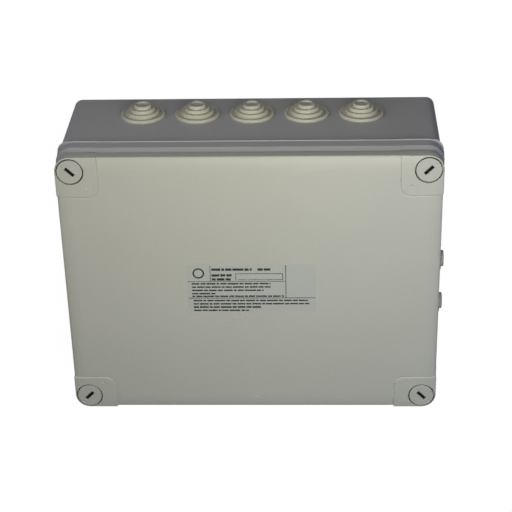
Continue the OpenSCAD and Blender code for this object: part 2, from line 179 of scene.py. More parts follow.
def carried(path, profile, swell=None, loop=False, end_cap=True):
    """Surface made by a profile (reach, height) carried along a closed path.

    Point (i, j) is path place i plus reach j along the path's normal i, at height j, and swell adds its own
    reach and height to each. With the path running anticlockwise and the profile too, the faces look
    outwards. A loop profile closes on itself; an open one is closed by a flat cap at each end.
    """
    places, normals = path
    count, steps = len(places), len(profile)
    reach = np.broadcast_to(profile[:, 0], (count, steps))
    height = np.broadcast_to(profile[:, 1], (count, steps))
    if swell is not None:
        reach, height = reach + swell[0], height + swell[1]
    plan = places[:, None] + normals[:, None] * reach[..., None]
    points = np.dstack([plan, height]).reshape(-1, 3)
    i, j = np.meshgrid(np.arange(count), np.arange(steps if loop else steps - 1), indexing="ij")
    i2, j2 = (i + 1) % count, (j + 1) % steps
    quads = np.stack([i * steps + j, i2 * steps + j, i2 * steps + j2, i * steps + j2], -1).reshape(-1, 4)
    faces = quads.tolist()
    if not loop:
        faces.append((np.arange(count)[::-1] * steps).tolist())
        if end_cap:
            faces.append((np.arange(count) * steps + steps - 1).tolist())
    return points, faces


def circle(count):
    """Path of no size with normals all round: a profile carried along it is turned about its axis."""
    angle = 2 * pi * np.arange(count) / count
    return np.zeros((count, 2)), np.stack([np.cos(angle), np.sin(angle)], 1)


def turned(profile, count=48):
    """Solid of revolution about the Z axis from filleted corners (radius, height, fillet)."""
    return carried(circle(count), filleted(profile, closed=False)[0])


def moved(solid, place=(0, 0, 0), axes=((1, 0, 0), (0, 1, 0), (0, 0, 1))):
    """The solid with its own X, Y and Z laid along the given axes and its origin at the given place."""
    return solid[0] @ np.array(axes, float) + np.array(place, float), solid[1]


def together(solids):
    """Several solids as one list of points and faces."""
    starts = np.cumsum([0] + [len(points) for points, _ in solids[:-1]])
    faces = [[v + int(start) for v in face] for start, (_, faces) in zip(starts, solids) for face in faces]
    return np.concatenate([points for points, _ in solids]), faces


def plain_mesh(name, solid, unit=1.0):
    mesh = bpy.data.meshes.new(name)
    mesh.from_pydata((solid[0] * unit).tolist(), [], solid[1])
    return mesh


def worked(solid, operation, others):
    """The solid with others, which don't touch one another, cut away (DIFFERENCE) or moulded on (UNION)."""
    parts = (("blank", solid), ("tool", together(others)))
    holders = [bpy.data.objects.new(n, plain_mesh(n, s)) for n, s in parts]
    for holder in holders:
        scene.collection.objects.link(holder)
    step = holders[0].modifiers.new("work", "BOOLEAN")
    step.operation, step.solver, step.object = operation, "EXACT", holders[1]
    result = holders[0].evaluated_get(bpy.context.evaluated_depsgraph_get()).to_mesh()
    points = np.empty(len(result.vertices) * 3, np.float32)
    result.vertices.foreach_get("co", points)
    faces = [list(face.vertices) for face in result.polygons]
    for holder in holders:
        data = holder.data
        bpy.data.objects.remove(holder)
        bpy.data.meshes.remove(data)
    return points.reshape(-1, 3).astype(float), faces


def piece(name, solid, material, body, nodes, sharp=40):
    """One finished object in metres: it rides on a body, stands for CAD nodes, which it hides, and takes the
    given material.
    """
    mesh = plain_mesh(name, solid, 0.001)
    mesh.shade_smooth()
    mesh.set_sharp_from_angle(angle=radians(sharp))
    mesh.materials.append(material)
    made = bpy.data.objects.new(name, mesh)
    scene.collection.objects.link(made)
    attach(made, body)
    if nodes:
        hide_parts(*nodes)
    return made


def corners_of(name):
    """Lowest and highest corner of a CAD node, in millimetres."""
    return tuple(np.array(corner) * 1000 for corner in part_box(name))


base_high = corners_of("base")[1]
wall, collar_out, collar_h, tongue_h, tongue_t = 2.4, 2.0, 13.0, 1.4, 1.4
# The corner zones stand proud of the straight stretches between them, and by step_out at the sides.
proud, zone, step_out = 0.4, 23.5, 0.28
cavity_x, cavity_y = base_high[0] - collar_out - wall, base_high[1] - collar_out - wall
cavity_r = 5.6
tongue_top = base_high[2]
collar_top = tongue_top - tongue_h
screw_x, screw_y = cavity_x - cavity_r, cavity_y - cavity_r


def smooth_step(t):
    t = np.clip(t, 0, 1)
    return t * t * (3 - 2 * t)


def rounded_box_path(half_x, half_y, radius, stops=(), step=7.5):
    """Rounded rectangle, run anticlockwise; its sides have four more points round each (x, y) stop."""
    corners = []
    marks_x = [s * (x + d) for x, _ in stops for s in (-1, 1) for d in (-0.4, -0.15, 0.15, 0.4)]
    marks_y = [s * (y + d) for _, y in stops for s in (-1, 1) for d in (-0.4, -0.15, 0.15, 0.4)]
    corners.append((-half_x, -half_y, radius))
    corners += [(x, -half_y, 0) for x in sorted(marks_x)]
    corners.append((half_x, -half_y, radius))
    corners += [(half_x, y, 0) for y in sorted(marks_y)]
    corners.append((half_x, half_y, radius))
    corners += [(x, half_y, 0) for x in sorted(marks_x, reverse=True)]
    corners.append((-half_x, half_y, radius))
    corners += [(-half_x, y, 0) for y in sorted(marks_y, reverse=True)]
    return filleted(corners, hold=0.4, step=step)


zone_x, zone_y = base_high[0] - zone, base_high[1] - zone
base_path = rounded_box_path(cavity_x, cavity_y, cavity_r, [(zone_x, zone_y)])
collar_low, collar_reach = collar_top - collar_h, wall + collar_out - proud
# The collar's shoulder slopes in to meet the lid, and a bead runs along its back.
ledge, slope_h, bead = 2.0, 4.8, 0.4
base_profile, _ = filleted([
    (-4, 0, 0), (wall, 0, 2.8), (wall, collar_low, 0.4), (collar_reach, collar_low, 0.35),
    (collar_reach, collar_low + 0.7, 0.2), (collar_reach - bead, collar_low + 1.15, 0.2),
    (collar_reach - bead, collar_top - slope_h, 0.8), (collar_reach - ledge, collar_top, 0.4),
    (tongue_t, collar_top, 0.15), (tongue_t, tongue_top, 0.35), (0, tongue_top, 0.35), (0, wall, 2.0),
    (-4, wall, 0)], closed=False)
in_zone = (smooth_step((np.abs(base_path[0][:, 0]) - zone_x + 0.4) / 0.8)
           * smooth_step((np.abs(base_path[0][:, 1]) - zone_y + 0.4) / 0.8))
on_collar = np.clip((base_profile[:, 0] - wall) / (ledge + 0.3), 0, 1)
base_solid = carried(base_path, base_profile, swell=(step_out * np.outer(in_zone, on_collar), 0))
# Behind the collar the upright corners are tighter: each arc point keeps its bearing on a smaller arc.
wall_corner_r = 5.0
places, bearings = base_path
in_arc = (np.abs(places) >= (cavity_x - cavity_r - 1e-6, cavity_y - cavity_r - 1e-6)).all(1)
tighten = (cavity_r + wall - wall_corner_r) * in_arc[:, None] * (np.sign(places) - bearings)
on_wall = (base_profile[:, 0] > 0.5) & (base_profile[:, 1] < collar_low + 0.01)
grid = base_solid[0].reshape(len(places), len(base_profile), 3)
grid[:, on_wall, :2] += tighten[:, None]

corner_signs = [(1, 1), (1, -1), (-1, 1), (-1, -1)]
fix_x, fix_y, fix_r = 85.0, 65.0, 2.6
rail_low, rail_high = corners_of("din_rail")
pillar_x = 71.6
post_r, post_top, post_bore_r, post_bore_z = 7.4, 73.5, 5.5, 54.9
post = turned([(1, 1.8, 0), (post_r, 1.8, 0), (post_r, post_top, 0.5), (1, post_top, 0)])
fix_pad = turned([(1, 1.5, 0), (7.2, 1.5, 0), (7.2, wall + 0.01, 0), (6, wall + 0.35, 1.2), (6, 4.4, 0.4),
                  (1, 4.4, 0)])
pillar = turned([(1, 1.5, 0), (6.6, 1.5, 0), (6.6, wall + 0.01, 0), (5, wall + 0.6, 1.5),
                 (5, rail_low[2] - 0.05, 0.4), (1, rail_low[2] - 0.05, 0)])
adds = [moved(post, (sx * screw_x, sy * screw_y, 0)) for sx, sy in corner_signs]
adds += [moved(fix_pad, (sx * fix_x, sy * fix_y, 0)) for sx, sy in corner_signs]
adds += [moved(pillar, (sx * pillar_x, 0, 0)) for sx in (-1, 1)]
base_solid = worked(base_solid, "UNION", adds)

post_bore = turned([(1, post_bore_z, 0), (post_bore_r, post_bore_z, 1.0), (post_bore_r, post_top - 0.5, 0),
                    (post_bore_r + 1, post_top + 0.5, 0), (post_bore_r + 1, post_top + 2, 0),
                    (1, post_top + 2, 0)])
fix_hole = turned([(0.5, -1, 0), (fix_r + 0.7, -1, 0), (fix_r + 0.7, 0, 0), (fix_r, 0.7, 0), (fix_r, 3.9, 0),
                   (fix_r + 0.6, 4.5, 0), (fix_r + 0.6, 6, 0), (0.5, 6, 0)])
pilot = turned([(0.5, 4, 0), (1.9, 4, 0), (1.9, rail_low[2] - 0.6, 0), (2.4, rail_low[2], 0),
                (2.4, rail_low[2] + 1, 0), (0.5, rail_low[2] + 1, 0)], 32)

# Entry centres: five along each long side, two in the lower half of each end, with local Z out of the wall.
entry_z, entry_r = sum(corners_of("entry_grommet_01"))[2] / 2, 11.2
wall_axes = {"top": ((-1, 0, 0), (0, 0, 1), (0, 1, 0)), "bottom": ((1, 0, 0), (0, 0, 1), (0, -1, 0)),
             "right": ((0, 1, 0), (0, 0, 1), (1, 0, 0)), "left": ((0, -1, 0), (0, 0, 1), (-1, 0, 0))}
long_rows, end_rows = np.linspace(-64, 64, 5), (-44.0, -14.0)
entries = [((x, cavity_y + wall, entry_z), "top") for x in long_rows]
entries += [((x, -cavity_y - wall, entry_z), "bottom") for x in long_rows]
entries += [((cavity_x + wall, y, entry_z), "right") for y in end_rows]
entries += [((-cavity_x - wall, y, entry_z), "left") for y in end_rows]
entry_hole = turned([(1, -wall - 1, 0), (entry_r, -wall - 1, 0), (entry_r, 1, 0), (1, 1, 0)])
cuts = [moved(post_bore, (sx * screw_x, sy * screw_y, 0)) for sx, sy in corner_signs]
cuts += [moved(fix_hole, (sx * fix_x, sy * fix_y, 0)) for sx, sy in corner_signs]
cuts += [moved(pilot, (sx * pillar_x, 0, 0)) for sx in (-1, 1)]
cuts += [moved(entry_hole, place, wall_axes[side]) for place, side in entries]
base_solid = worked(base_solid, "DIFFERENCE", cuts)


def group(name, inputs, outputs):
    """An empty shader node group with named sockets; gives the tree, its input node and its output node."""
    tree = bpy.data.node_groups.new(name, "ShaderNodeTree")
    for socket, (kind, default) in inputs.items():
        made = tree.interface.new_socket(socket, in_out="INPUT", socket_type="NodeSocket" + kind)
        made.default_value = default
    for socket, kind in outputs.items():
        tree.interface.new_socket(socket, in_out="OUTPUT", socket_type="NodeSocket" + kind)
    return tree, tree.nodes.new("NodeGroupInput").outputs, tree.nodes.new("NodeGroupOutput")


def moulded_skin_group():
    """Skin of a moulded part: cloudy pigment, fine spark grain and faint rubbed streaks, paler and duller."""
    tree, given, out = group(
        "moulded_skin",
        {"Colour": ("Color", (0.5, 0.5, 0.5, 1)), "Cloud": ("Float", 0.06), "Grain Size": ("Float", 2600.0),
         "Roughness": ("Float", 0.45), "Rub": ("Float", 0.3)},
        {"Colour": "Color", "Roughness": "Float", "Height": "Float"})
    where = node(tree, "ShaderNodeTexCoord").outputs["Object"]
    cloud = node(tree, "ShaderNodeTexNoise", {"Vector": where, "Scale": 17.0, "Detail": 3.0})
    fleck = node(tree, "ShaderNodeTexNoise", {"Vector": where, "Scale": 420.0, "Detail": 2.0})
    grain = node(tree, "ShaderNodeTexNoise", {"Vector": where, "Scale": given["Grain Size"], "Detail": 2.0})
    stretch = node(tree, "ShaderNodeMapping", {"Vector": where, "Rotation": (0.2, 0.1, 0.5),
                                               "Scale": (22, 330, 90)})
    streak = node(tree, "ShaderNodeTexNoise", {"Vector": stretch.outputs[0], "Scale": 1.0, "Detail": 3.0})
    rubbed = node(tree, "ShaderNodeMapRange", {"Value": streak.outputs["Fac"], "From Min": 0.62,
                                               "From Max": 0.80})
    patch = node(tree, "ShaderNodeMapRange", {"Value": cloud.outputs["Fac"], "From Min": 0.50,
                                              "From Max": 0.66})
    rub = node(tree, "ShaderNodeMath", {0: rubbed.outputs[0], 1: patch.outputs[0]}, operation="MULTIPLY")
    rub = node(tree, "ShaderNodeMath", {0: rub.outputs[0], 1: given["Rub"]}, operation="MULTIPLY")
    shade = node(tree, "ShaderNodeMath", {0: cloud.outputs["Fac"], 1: fleck.outputs["Fac"]}, operation="ADD")
    shade = node(tree, "ShaderNodeMath", {0: shade.outputs[0], 1: -1.0}, operation="ADD")
    shade = node(tree, "ShaderNodeMath", {0: shade.outputs[0], 1: given["Cloud"], 2: 1.0},
                 operation="MULTIPLY_ADD")
    tint = node(tree, "ShaderNodeVectorMath", {0: given["Colour"], "Scale": shade.outputs[0]},
                operation="SCALE")
    pale = node(tree, "ShaderNodeMix", {0: rub.outputs[0], 6: tint.outputs[0], 7: (0.62, 0.62, 0.60, 1)},
                data_type="RGBA")
    rough = node(tree, "ShaderNodeMath", {0: grain.outputs["Fac"], 1: 0.10, 2: given["Roughness"]},
                 operation="MULTIPLY_ADD")
    rough = node(tree, "ShaderNodeMath", {0: rub.outputs[0], 1: 0.25, 2: rough.outputs[0]},
                 operation="MULTIPLY_ADD")
    tree.links.new(pale.outputs[2], out.inputs["Colour"])
    tree.links.new(rough.outputs[0], out.inputs["Roughness"])
    tree.links.new(grain.outputs["Fac"], out.inputs["Height"])
    return tree


moulded_skin = moulded_skin_group()


def moulded_plastic(name, colour, roughness, cloud=0.06, grain=2600.0, depth=0.00004, rub=0.3, **constants):
    """Plastic or rubber with a moulded skin; depth is the height of its grain in metres."""
    material, tree, shader = new_material(name, **constants)
    skin = node(tree, "ShaderNodeGroup", node_tree=moulded_skin)
    for socket, value in {"Colour": (*colour, 1), "Cloud": cloud, "Grain Size": grain, "Roughness": roughness,
                          "Rub": rub}.items():
        skin.inputs[socket].default_value = value
    bump = node(tree, "ShaderNodeBump", {"Height": skin.outputs["Height"], "Distance": depth,
                                         "Strength": 1.0})
    tree.links.new(skin.outputs["Colour"], shader.inputs["Base Color"])
    tree.links.new(skin.outputs["Roughness"], shader.inputs["Roughness"])
    tree.links.new(bump.outputs[0], shader.inputs["Normal"])
    return material


base_plastic = moulded_plastic("base_plastic", (0.50, 0.495, 0.505), 0.45, rub=0.25)
piece("base_tray", base_solid, base_plastic, "box", ["base"])


# ---- Cable entries ----
# Soft rubber grommets, moulded as stepped cones. Each snaps into its hole: the lip inside and the flange
# outside grip the wall, and a rounded bead runs along the edge of every step.
flange_r, flange_t = 13.0, 1.9
step_radii, step_tops = (9.6, 7.3, 5.0), (3.65, 5.4, 7.15)
entry_profile = [
    (1.5, 4.95, 0), (3.7, 4.95, 0.4), (3.7, 4.0, 0.3), (6.0, 4.0, 0.4), (6.0, 2.15, 0.3), (8.3, 2.15, 0.4),
    (8.3, -wall - 1.6, 0.5), (12.2, -wall - 1.6, 0.6), (12.2, -wall, 0.3), (11.15, -wall, 0.1),
    (11.15, 0, 0.1), (flange_r, 0, 0.35), (flange_r, flange_t, 0.6), (flange_r - 1.3, flange_t, 0.4),
    (flange_r - 1.6, flange_t - 0.5, 0.3), (step_radii[0], flange_t - 0.5, 0.2)]
for this_r, top, next_r in zip(step_radii, step_tops, step_radii[1:]):
    entry_profile += [(this_r, top, 0.25), (this_r - 0.6, top, 0.2), (this_r - 0.75, top - 0.12, 0.1),
                      (next_r, top - 0.12, 0.1)]
entry_profile += [(step_radii[2], step_tops[2], 0.45), (3.5, step_tops[2], 0.4),
                  (3.1, step_tops[2] - 0.9, 0.3), (1.0, step_tops[2] - 0.9, 0)]
entry_solid = turned(entry_profile, 56)
entry_rubber = moulded_plastic("entry_rubber", (0.58, 0.56, 0.47), 0.50, cloud=0.10, grain=1500.0, rub=0.1)
for number, (place, side) in enumerate(entries, 1):
    piece(f"entry_rubber_{number:02d}", moved(entry_solid, place, wall_axes[side]), entry_rubber, "box",
          [f"entry_grommet_{number:02d}"])


# ---- Mounting rail ----
# Top-hat rail, roll-formed from a millimetre of galvanised sheet, with oblong slots along its web. It
# stands on the base's two pillars and is held by a screw at each end.
def slab(outline, low, high, edge):
    """Plate of a closed outline from low to high, its rims rounded by the given radius."""
    rim = filleted([(-edge * 1.6, low, 0), (0, low, edge), (0, high, edge), (-edge * 1.6, high, 0)],
                   closed=False, step=30)[0]
    return carried(outline, rim)


def bar(half_x, half_y, low, high, radius=0.2):
    """Upright block of a rounded rectangle plan."""
    plan = filleted([(-half_x, -half_y, radius), (half_x, -half_y, radius), (half_x, half_y, radius),
                     (-half_x, half_y, radius)], step=30)
    return carried(plan, np.array([(0, low), (0, high)], float))


along_x = ((0, 1, 0), (0, 0, 1), (1, 0, 0))       # an outline drawn in Y and Z, its thickness along X
sheet, hat_half, flange_half = 1.0, 13.5, 17.5
rail_web, rail_rim = rail_low[2], rail_high[2]
rail_outline = filleted([
    (-hat_half, rail_web, 1.6), (hat_half, rail_web, 1.6), (hat_half, rail_rim - sheet, 0.4),
    (flange_half, rail_rim - sheet, 0.3), (flange_half, rail_rim, 0.3), (hat_half - sheet, rail_rim, 1.2),
    (hat_half - sheet, rail_web + sheet, 0.6), (-hat_half + sheet, rail_web + sheet, 0.6),
    (-hat_half + sheet, rail_rim, 1.2), (-flange_half, rail_rim, 0.3), (-flange_half, rail_rim - sheet, 0.3),
    (-hat_half, rail_rim - sheet, 0.4)])
rail_blank = moved(slab(rail_outline, rail_low[0], rail_high[0], 0.12), (0, 0, 0), along_x)
slot_places = [s * x for x in (0.0, 25.0, 50.0, pillar_x) for s in ((1,) if x == 0 else (1, -1))]
rail_slots = [moved(bar(7.5, 2.6, rail_web - 1, rail_web + 2, 2.59), (x, 0, 0)) for x in slot_places]


def plated_metal_group():
    """Plated or drawn metal: spangle and tarnish in the tone, and fine scratches along X in the height."""
    tree, given, out = group(
        "plated_metal", {"Colour": ("Color", (0.6, 0.6, 0.6, 1)), "Roughness": ("Float", 0.3),
                         "Spangle": ("Float", 0.12), "Scratch": ("Float", 0.5)},
        {"Colour": "Color", "Roughness": "Float", "Height": "Float"})
    where = node(tree, "ShaderNodeTexCoord").outputs["Object"]
    spangle = node(tree, "ShaderNodeTexVoronoi", {"Vector": where, "Scale": 260.0, "Randomness": 1.0})
    tarnish = node(tree, "ShaderNodeTexNoise", {"Vector": where, "Scale": 70.0, "Detail": 4.0})
    stretch = node(tree, "ShaderNodeMapping", {"Vector": where, "Scale": (60, 2600, 2600)})
    scratch = node(tree, "ShaderNodeTexNoise", {"Vector": stretch.outputs[0], "Scale": 1.0, "Detail": 2.0})
    tone = node(tree, "ShaderNodeSeparateColor", {"Color": spangle.outputs["Color"]})
    tone = node(tree, "ShaderNodeMath", {0: tone.outputs[0], 1: tarnish.outputs["Fac"]}, operation="ADD")
    tone = node(tree, "ShaderNodeMath", {0: tone.outputs[0], 1: -1.0}, operation="ADD")
    tone = node(tree, "ShaderNodeMath", {0: tone.outputs[0], 1: given["Spangle"], 2: 1.0},
                operation="MULTIPLY_ADD")
    tint = node(tree, "ShaderNodeVectorMath", {0: given["Colour"], "Scale": tone.outputs[0]},
                operation="SCALE")
    height = node(tree, "ShaderNodeMath", {0: scratch.outputs["Fac"], 1: given["Scratch"]},
                  operation="MULTIPLY")
    rough = node(tree, "ShaderNodeMath", {0: tarnish.outputs["Fac"], 1: 0.18, 2: given["Roughness"]},
                 operation="MULTIPLY_ADD")
    tree.links.new(tint.outputs[0], out.inputs["Colour"])
    tree.links.new(rough.outputs[0], out.inputs["Roughness"])
    tree.links.new(height.outputs[0], out.inputs["Height"])
    return tree


plated_skin = plated_metal_group()


def plated_metal(name, colour, roughness, spangle=0.12, scratch=0.5):
    """Metal with its plating; the scratches are at most two hundredths of a millimetre deep."""
    material, tree, shader = new_material(name, Metallic=1.0)
    skin = node(tree, "ShaderNodeGroup", node_tree=plated_skin)
    for socket, value in {"Colour": (*colour, 1), "Roughness": roughness, "Spangle": spangle,
                          "Scratch": scratch}.items():
        skin.inputs[socket].default_value = value
    bump = node(tree, "ShaderNodeBump", {"Height": skin.outputs["Height"], "Distance": 0.00002,
                                         "Strength": 1.0})
    tree.links.new(skin.outputs["Colour"], shader.inputs["Base Color"])
    tree.links.new(skin.outputs["Roughness"], shader.inputs["Roughness"])
    tree.links.new(bump.outputs[0], shader.inputs["Normal"])
    return material


rail_steel = plated_metal("rail_steel", (0.60, 0.61, 0.62), 0.26, spangle=0.25)
piece("rail_formed", worked(rail_blank, "DIFFERENCE", rail_slots), rail_steel, "box", ["din_rail"])


def finish_node(name, material):
    """Gives a CAD part that stays as it is its own finish."""
    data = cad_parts[name].data
    data.materials.clear()
    data.materials.append(material)


screw_steel = plated_metal("screw_steel", (0.66, 0.65, 0.61), 0.24, spangle=0.10, scratch=0.3)
finish_node("rail_screws", screw_steel)


# ---- Terminals ----
# Ten feed-through blocks in moulded polyamide, hooked over the rail's flanges: eight grey, one blue for
# neutral and one green for earth. Each holds a brass clamp cage with its screw at either side and a blank
# white marker on top.
block_count, block_pitch, block_gap, block_top = 10, 8.0, 0.05, 34.0
foot_z = rail_rim
block_half = [(0, 0.1, 0), (17.6, 0.1, 0), (17.6, -1.1, 0), (16.0, -1.1, 0.2), (16.0, -2.7, 0.5),
              (19.6, -2.7, 0.6), (19.6, 4.0, 0.3), (22.0, 4.0, 0.6), (22.0, 19.0, 0.8), (18.0, 21.0, 0.8),
              (16.6, 32.5, 0.6), (15.4, block_top, 0.6)]
marker_half, marker_deep = 4.6, 1.0
block_groove = [(marker_half, block_top, 0.15), (marker_half, block_top - marker_deep, 0.15)]
half_outline = block_half[1:] + block_groove
block_outline = filleted([(y, z + foot_z, r) for y, z, r in half_outline]
                         + [(-y, z + foot_z, r) for y, z, r in half_outline[::-1]], step=18)
block_t = block_pitch - 2 * block_gap
block_blank = moved(slab(block_outline, -block_t / 2, block_t / 2, 0.3), (0, 0, 0), along_x)
clamp_y, wire_z, clamp_r = 13.0, 10.6, 2.3
pockets = [moved(bar(2.7, 3.5, foot_z + 6.9, foot_z + 17.1), (0, s * clamp_y, 0)) for s in (-1, 1)]
screw_ways = [moved(turned([(0.5, foot_z + 16, 0), (clamp_r, foot_z + 16, 0), (clamp_r, foot_z + 33.4, 0),
                            (clamp_r + 0.7, foot_z + 34.1, 0), (clamp_r + 0.7, foot_z + 36, 0),
                            (0.5, foot_z + 36, 0)], 32), (0, s * clamp_y, 0)) for s in (-1, 1)]
wire_ways = [moved(turned([(0.5, 15, 0), (clamp_r, 15, 0), (clamp_r, 21.2, 0), (clamp_r + 0.9, 22.1, 0),
                           (clamp_r + 0.9, 24, 0), (0.5, 24, 0)], 32), (0, 0, foot_z + wire_z),
                   ((1, 0, 0), (0, 0, s * -1.0), (0, s * 1.0, 0))) for s in (-1, 1)]
block_solid = worked(block_blank, "DIFFERENCE", pockets)
block_solid = worked(block_solid, "DIFFERENCE", screw_ways)
block_solid = worked(block_solid, "DIFFERENCE", wire_ways)
terminal_grey = moulded_plastic("terminal_grey", (0.36, 0.36, 0.35), 0.42, rub=0.15)
terminal_blue = moulded_plastic("terminal_blue", (0.03, 0.13, 0.40), 0.40, rub=0.15)
terminal_green = moulded_plastic("terminal_green", (0.05, 0.30, 0.06), 0.40, rub=0.15)
block_finish = [("terminal_grey", terminal_grey)] * 8 + [("terminal_blue", terminal_blue),
                                                        ("terminal_green", terminal_green)]
marker_white = moulded_plastic("marker_white", (0.74, 0.74, 0.72), 0.38, cloud=0.03, rub=0.05)
marker_plan = filleted([(-3.6, -marker_half + 0.1, 0.3), (3.6, -marker_half + 0.1, 0.3),
                        (3.6, marker_half - 0.1, 0.3), (-3.6, marker_half - 0.1, 0.3)], step=30)
marker_tag = slab(marker_plan, foot_z + block_top - marker_deep + 0.02, foot_z + 33.95, 0.15)
block_x = (np.arange(block_count) - (block_count - 1) / 2) * block_pitch - 0.8
markers = []
for number, (x, (slot_name, finish)) in enumerate(zip(block_x, block_finish), 1):
    piece(f"terminal_{number:02d}_moulded", moved(block_solid, (x, 0, 0)), finish, "box",
          [f"terminal_block_{number:02d}"])
    markers.append(moved(marker_tag, (x, 0, 0)))
piece("terminal_markers", together(markers), marker_white, "box", [])
clamp_brass = plated_metal("clamp_brass", (0.72, 0.52, 0.22), 0.26, spangle=0.10)
finish_node("clamp_cages", clamp_brass)
finish_node("clamp_screws", screw_steel)


# ---- End plate and end stops ----
# A thin plate closes the open side of the last block. A stop at each end clamps on the rail with its own
# screw and keeps the row together.
plate_low, plate_high = corners_of("end_plate")
end_plate_solid = moved(slab(block_outline, plate_low[0], plate_high[0], 0.25), (0, 0, 0), along_x)
piece("end_plate_moulded", end_plate_solid, terminal_grey, "box", ["end_plate"])
stop_half = [(17.6, 0.1, 0), (17.6, -1.1, 0), (16.0, -1.1, 0.2), (16.0, -2.7, 0.5), (19.6, -2.7, 0.6),
             (19.6, 2.0, 0.6), (11.6, 22.0, 1.2)]
stop_outline = filleted([(y, z + foot_z, r) for y, z, r in stop_half]
                        + [(-y, z + foot_z, r) for y, z, r in stop_half[::-1]], step=18)
stop_bore = turned([(0.5, foot_z - 5, 0), (1.9, foot_z - 5, 0), (1.9, foot_z + 19.9, 0),
                    (3.1, foot_z + 19.9, 0), (3.1, foot_z + 21.6, 0), (3.5, foot_z + 22.1, 0),
                    (3.5, foot_z + 24, 0), (0.5, foot_z + 24, 0)], 40)
stop_plastic = moulded_plastic("stop_plastic", (0.19, 0.19, 0.185), 0.40, rub=0.2)
for side in ("left", "right"):
    stop_low, stop_high = corners_of(f"end_stop_{side}")
    stop_blank = moved(slab(stop_outline, stop_low[0], stop_high[0], 0.4), (0, 0, 0), along_x)
    bored = worked(stop_blank, "DIFFERENCE", [moved(stop_bore, ((stop_low[0] + stop_high[0]) / 2, 0, 0))])
    piece(f"end_stop_{side}_moulded", bored, stop_plastic, "box", [f"end_stop_{side}"])
finish_node("stop_screws", screw_steel)


# ---- Lid ----
# Moulded in light warm grey: a flat panel with a rounded rim, a square pad round each screw, a rib and a
# groove underneath, and a boss for each screw. The pads carry a small sink mark, and the moulding gate
# shows near one edge.
lid_high = corners_of("lid")[1]
lid_x, lid_y, pad_top = lid_high[0] - proud, lid_high[1] - proud, lid_high[2]
panel_top, panel_under, lid_bottom = pad_top - proud, pad_top - proud - 2.5, collar_top + 0.1
rim_in = 2.2                                # the panel's own grid stops this far inside the outline
border, border_drop = 9.0, 2.0              # the face rounds off to the side along a quarter of an ellipse
pad_x, pad_y, pad_r, pad_edge = lid_high[0] - zone, lid_high[1] - zone, 6.0, 0.5
# Where the pads start, in x and y: the lower ones are wider and less tall.
upper_pad, lower_pad = (pad_x - 0.5, pad_y - 0.8), (pad_x - 1.6, pad_y + 2.0)
pad_firm = 0.4                              # share of the border's fall that the pads don't follow
sink_x, sink_y = 90.7, 65.5
gate_x, gate_y = 5.0, -76.0


def pad_gap(x, y):
    """Distance outside the nearest corner pad, negative on it: that to a rounded quarter plane."""
    start_x, start_y = (np.where(y > 0, upper, lower) for upper, lower in zip(upper_pad, lower_pad))
    px, py = pad_r - (np.abs(x) - start_x), pad_r - (np.abs(y) - start_y)
    return np.hypot(np.clip(px, 0, None), np.clip(py, 0, None)) + np.clip(np.maximum(px, py), None, 0) - pad_r


def pad_rise(x, y):
    """1 on the corner pads and 0 on the panel, by a smooth step across the pads' edge."""
    return smooth_step(0.5 - pad_gap(x, y) / pad_edge)


def border_fall(inside):
    """How far the face has dropped at a distance inside the outline, along the border's ellipse."""
    across = np.clip(1 - inside / border, 0, 1)
    return border_drop * (1 - np.sqrt(1 - across ** 2))


def panel_height(x, y):
    """Height of the lid's face: panel, raised pads, a bowl at each sink mark and a ring at the gate.

    A fine furrow with a bell-shaped section runs along the foot of the pads' edge. Towards the outline the
    face falls off along the border's ellipse, less so on the pads.
    """
    out_x, out_y = np.abs(x) - screw_x, np.abs(y) - screw_y
    corner_out = (np.hypot(np.clip(out_x, 0, None), np.clip(out_y, 0, None))
                  + np.clip(np.maximum(out_x, out_y), None, 0))
    fall = border_fall(lid_x - screw_x - corner_out) * (1 - pad_firm * pad_rise(x, y))
    sink = np.hypot(np.abs(x) - sink_x, np.abs(y) - sink_y)
    gate = np.hypot(x - gate_x, y - gate_y)
    bowl = 0.35 * smooth_step(1 - sink / 1.0)
    mark = 0.16 * np.exp(-((gate - 1.1) / 0.3) ** 2) - 0.12 * smooth_step(1 - gate / 0.9)
    furrow = 0.16 * np.exp(-((pad_gap(x, y) - 0.4) / 0.25) ** 2)
    return panel_top + proud * pad_rise(x, y) - furrow - bowl + mark - fall


def panel_lines(arc_start, half, pad, mark):
    """Grid lines from -half to half: even in the round corners, close at the pads' edges and the mark."""
    arc = np.linspace(arc_start, half, 7)
    close = np.arange(pad - 2.5, pad + pad_r + 2.5, 0.2)
    side = np.concatenate([close, np.linspace(close[-1], arc_start - 0.4, 4)[1:], arc])
    middle = np.arange(-pad + 6, pad - 5.9, (2 * pad - 12) / 24)
    near_mark = mark + np.arange(-1.6, 1.61, 0.32)
    middle = middle[np.abs(middle - mark) > 2.0]
    return np.sort(np.concatenate([-side, side, middle, near_mark]))


flat_x, flat_y = lid_x - rim_in, lid_y - rim_in
arc_x, arc_y = screw_x, screw_y
lines_x, lines_y = panel_lines(arc_x, flat_x, pad_x, gate_x), panel_lines(arc_y, flat_y, pad_y, gate_y)
grid_x, grid_y = np.meshgrid(lines_x, lines_y, indexing="ij")
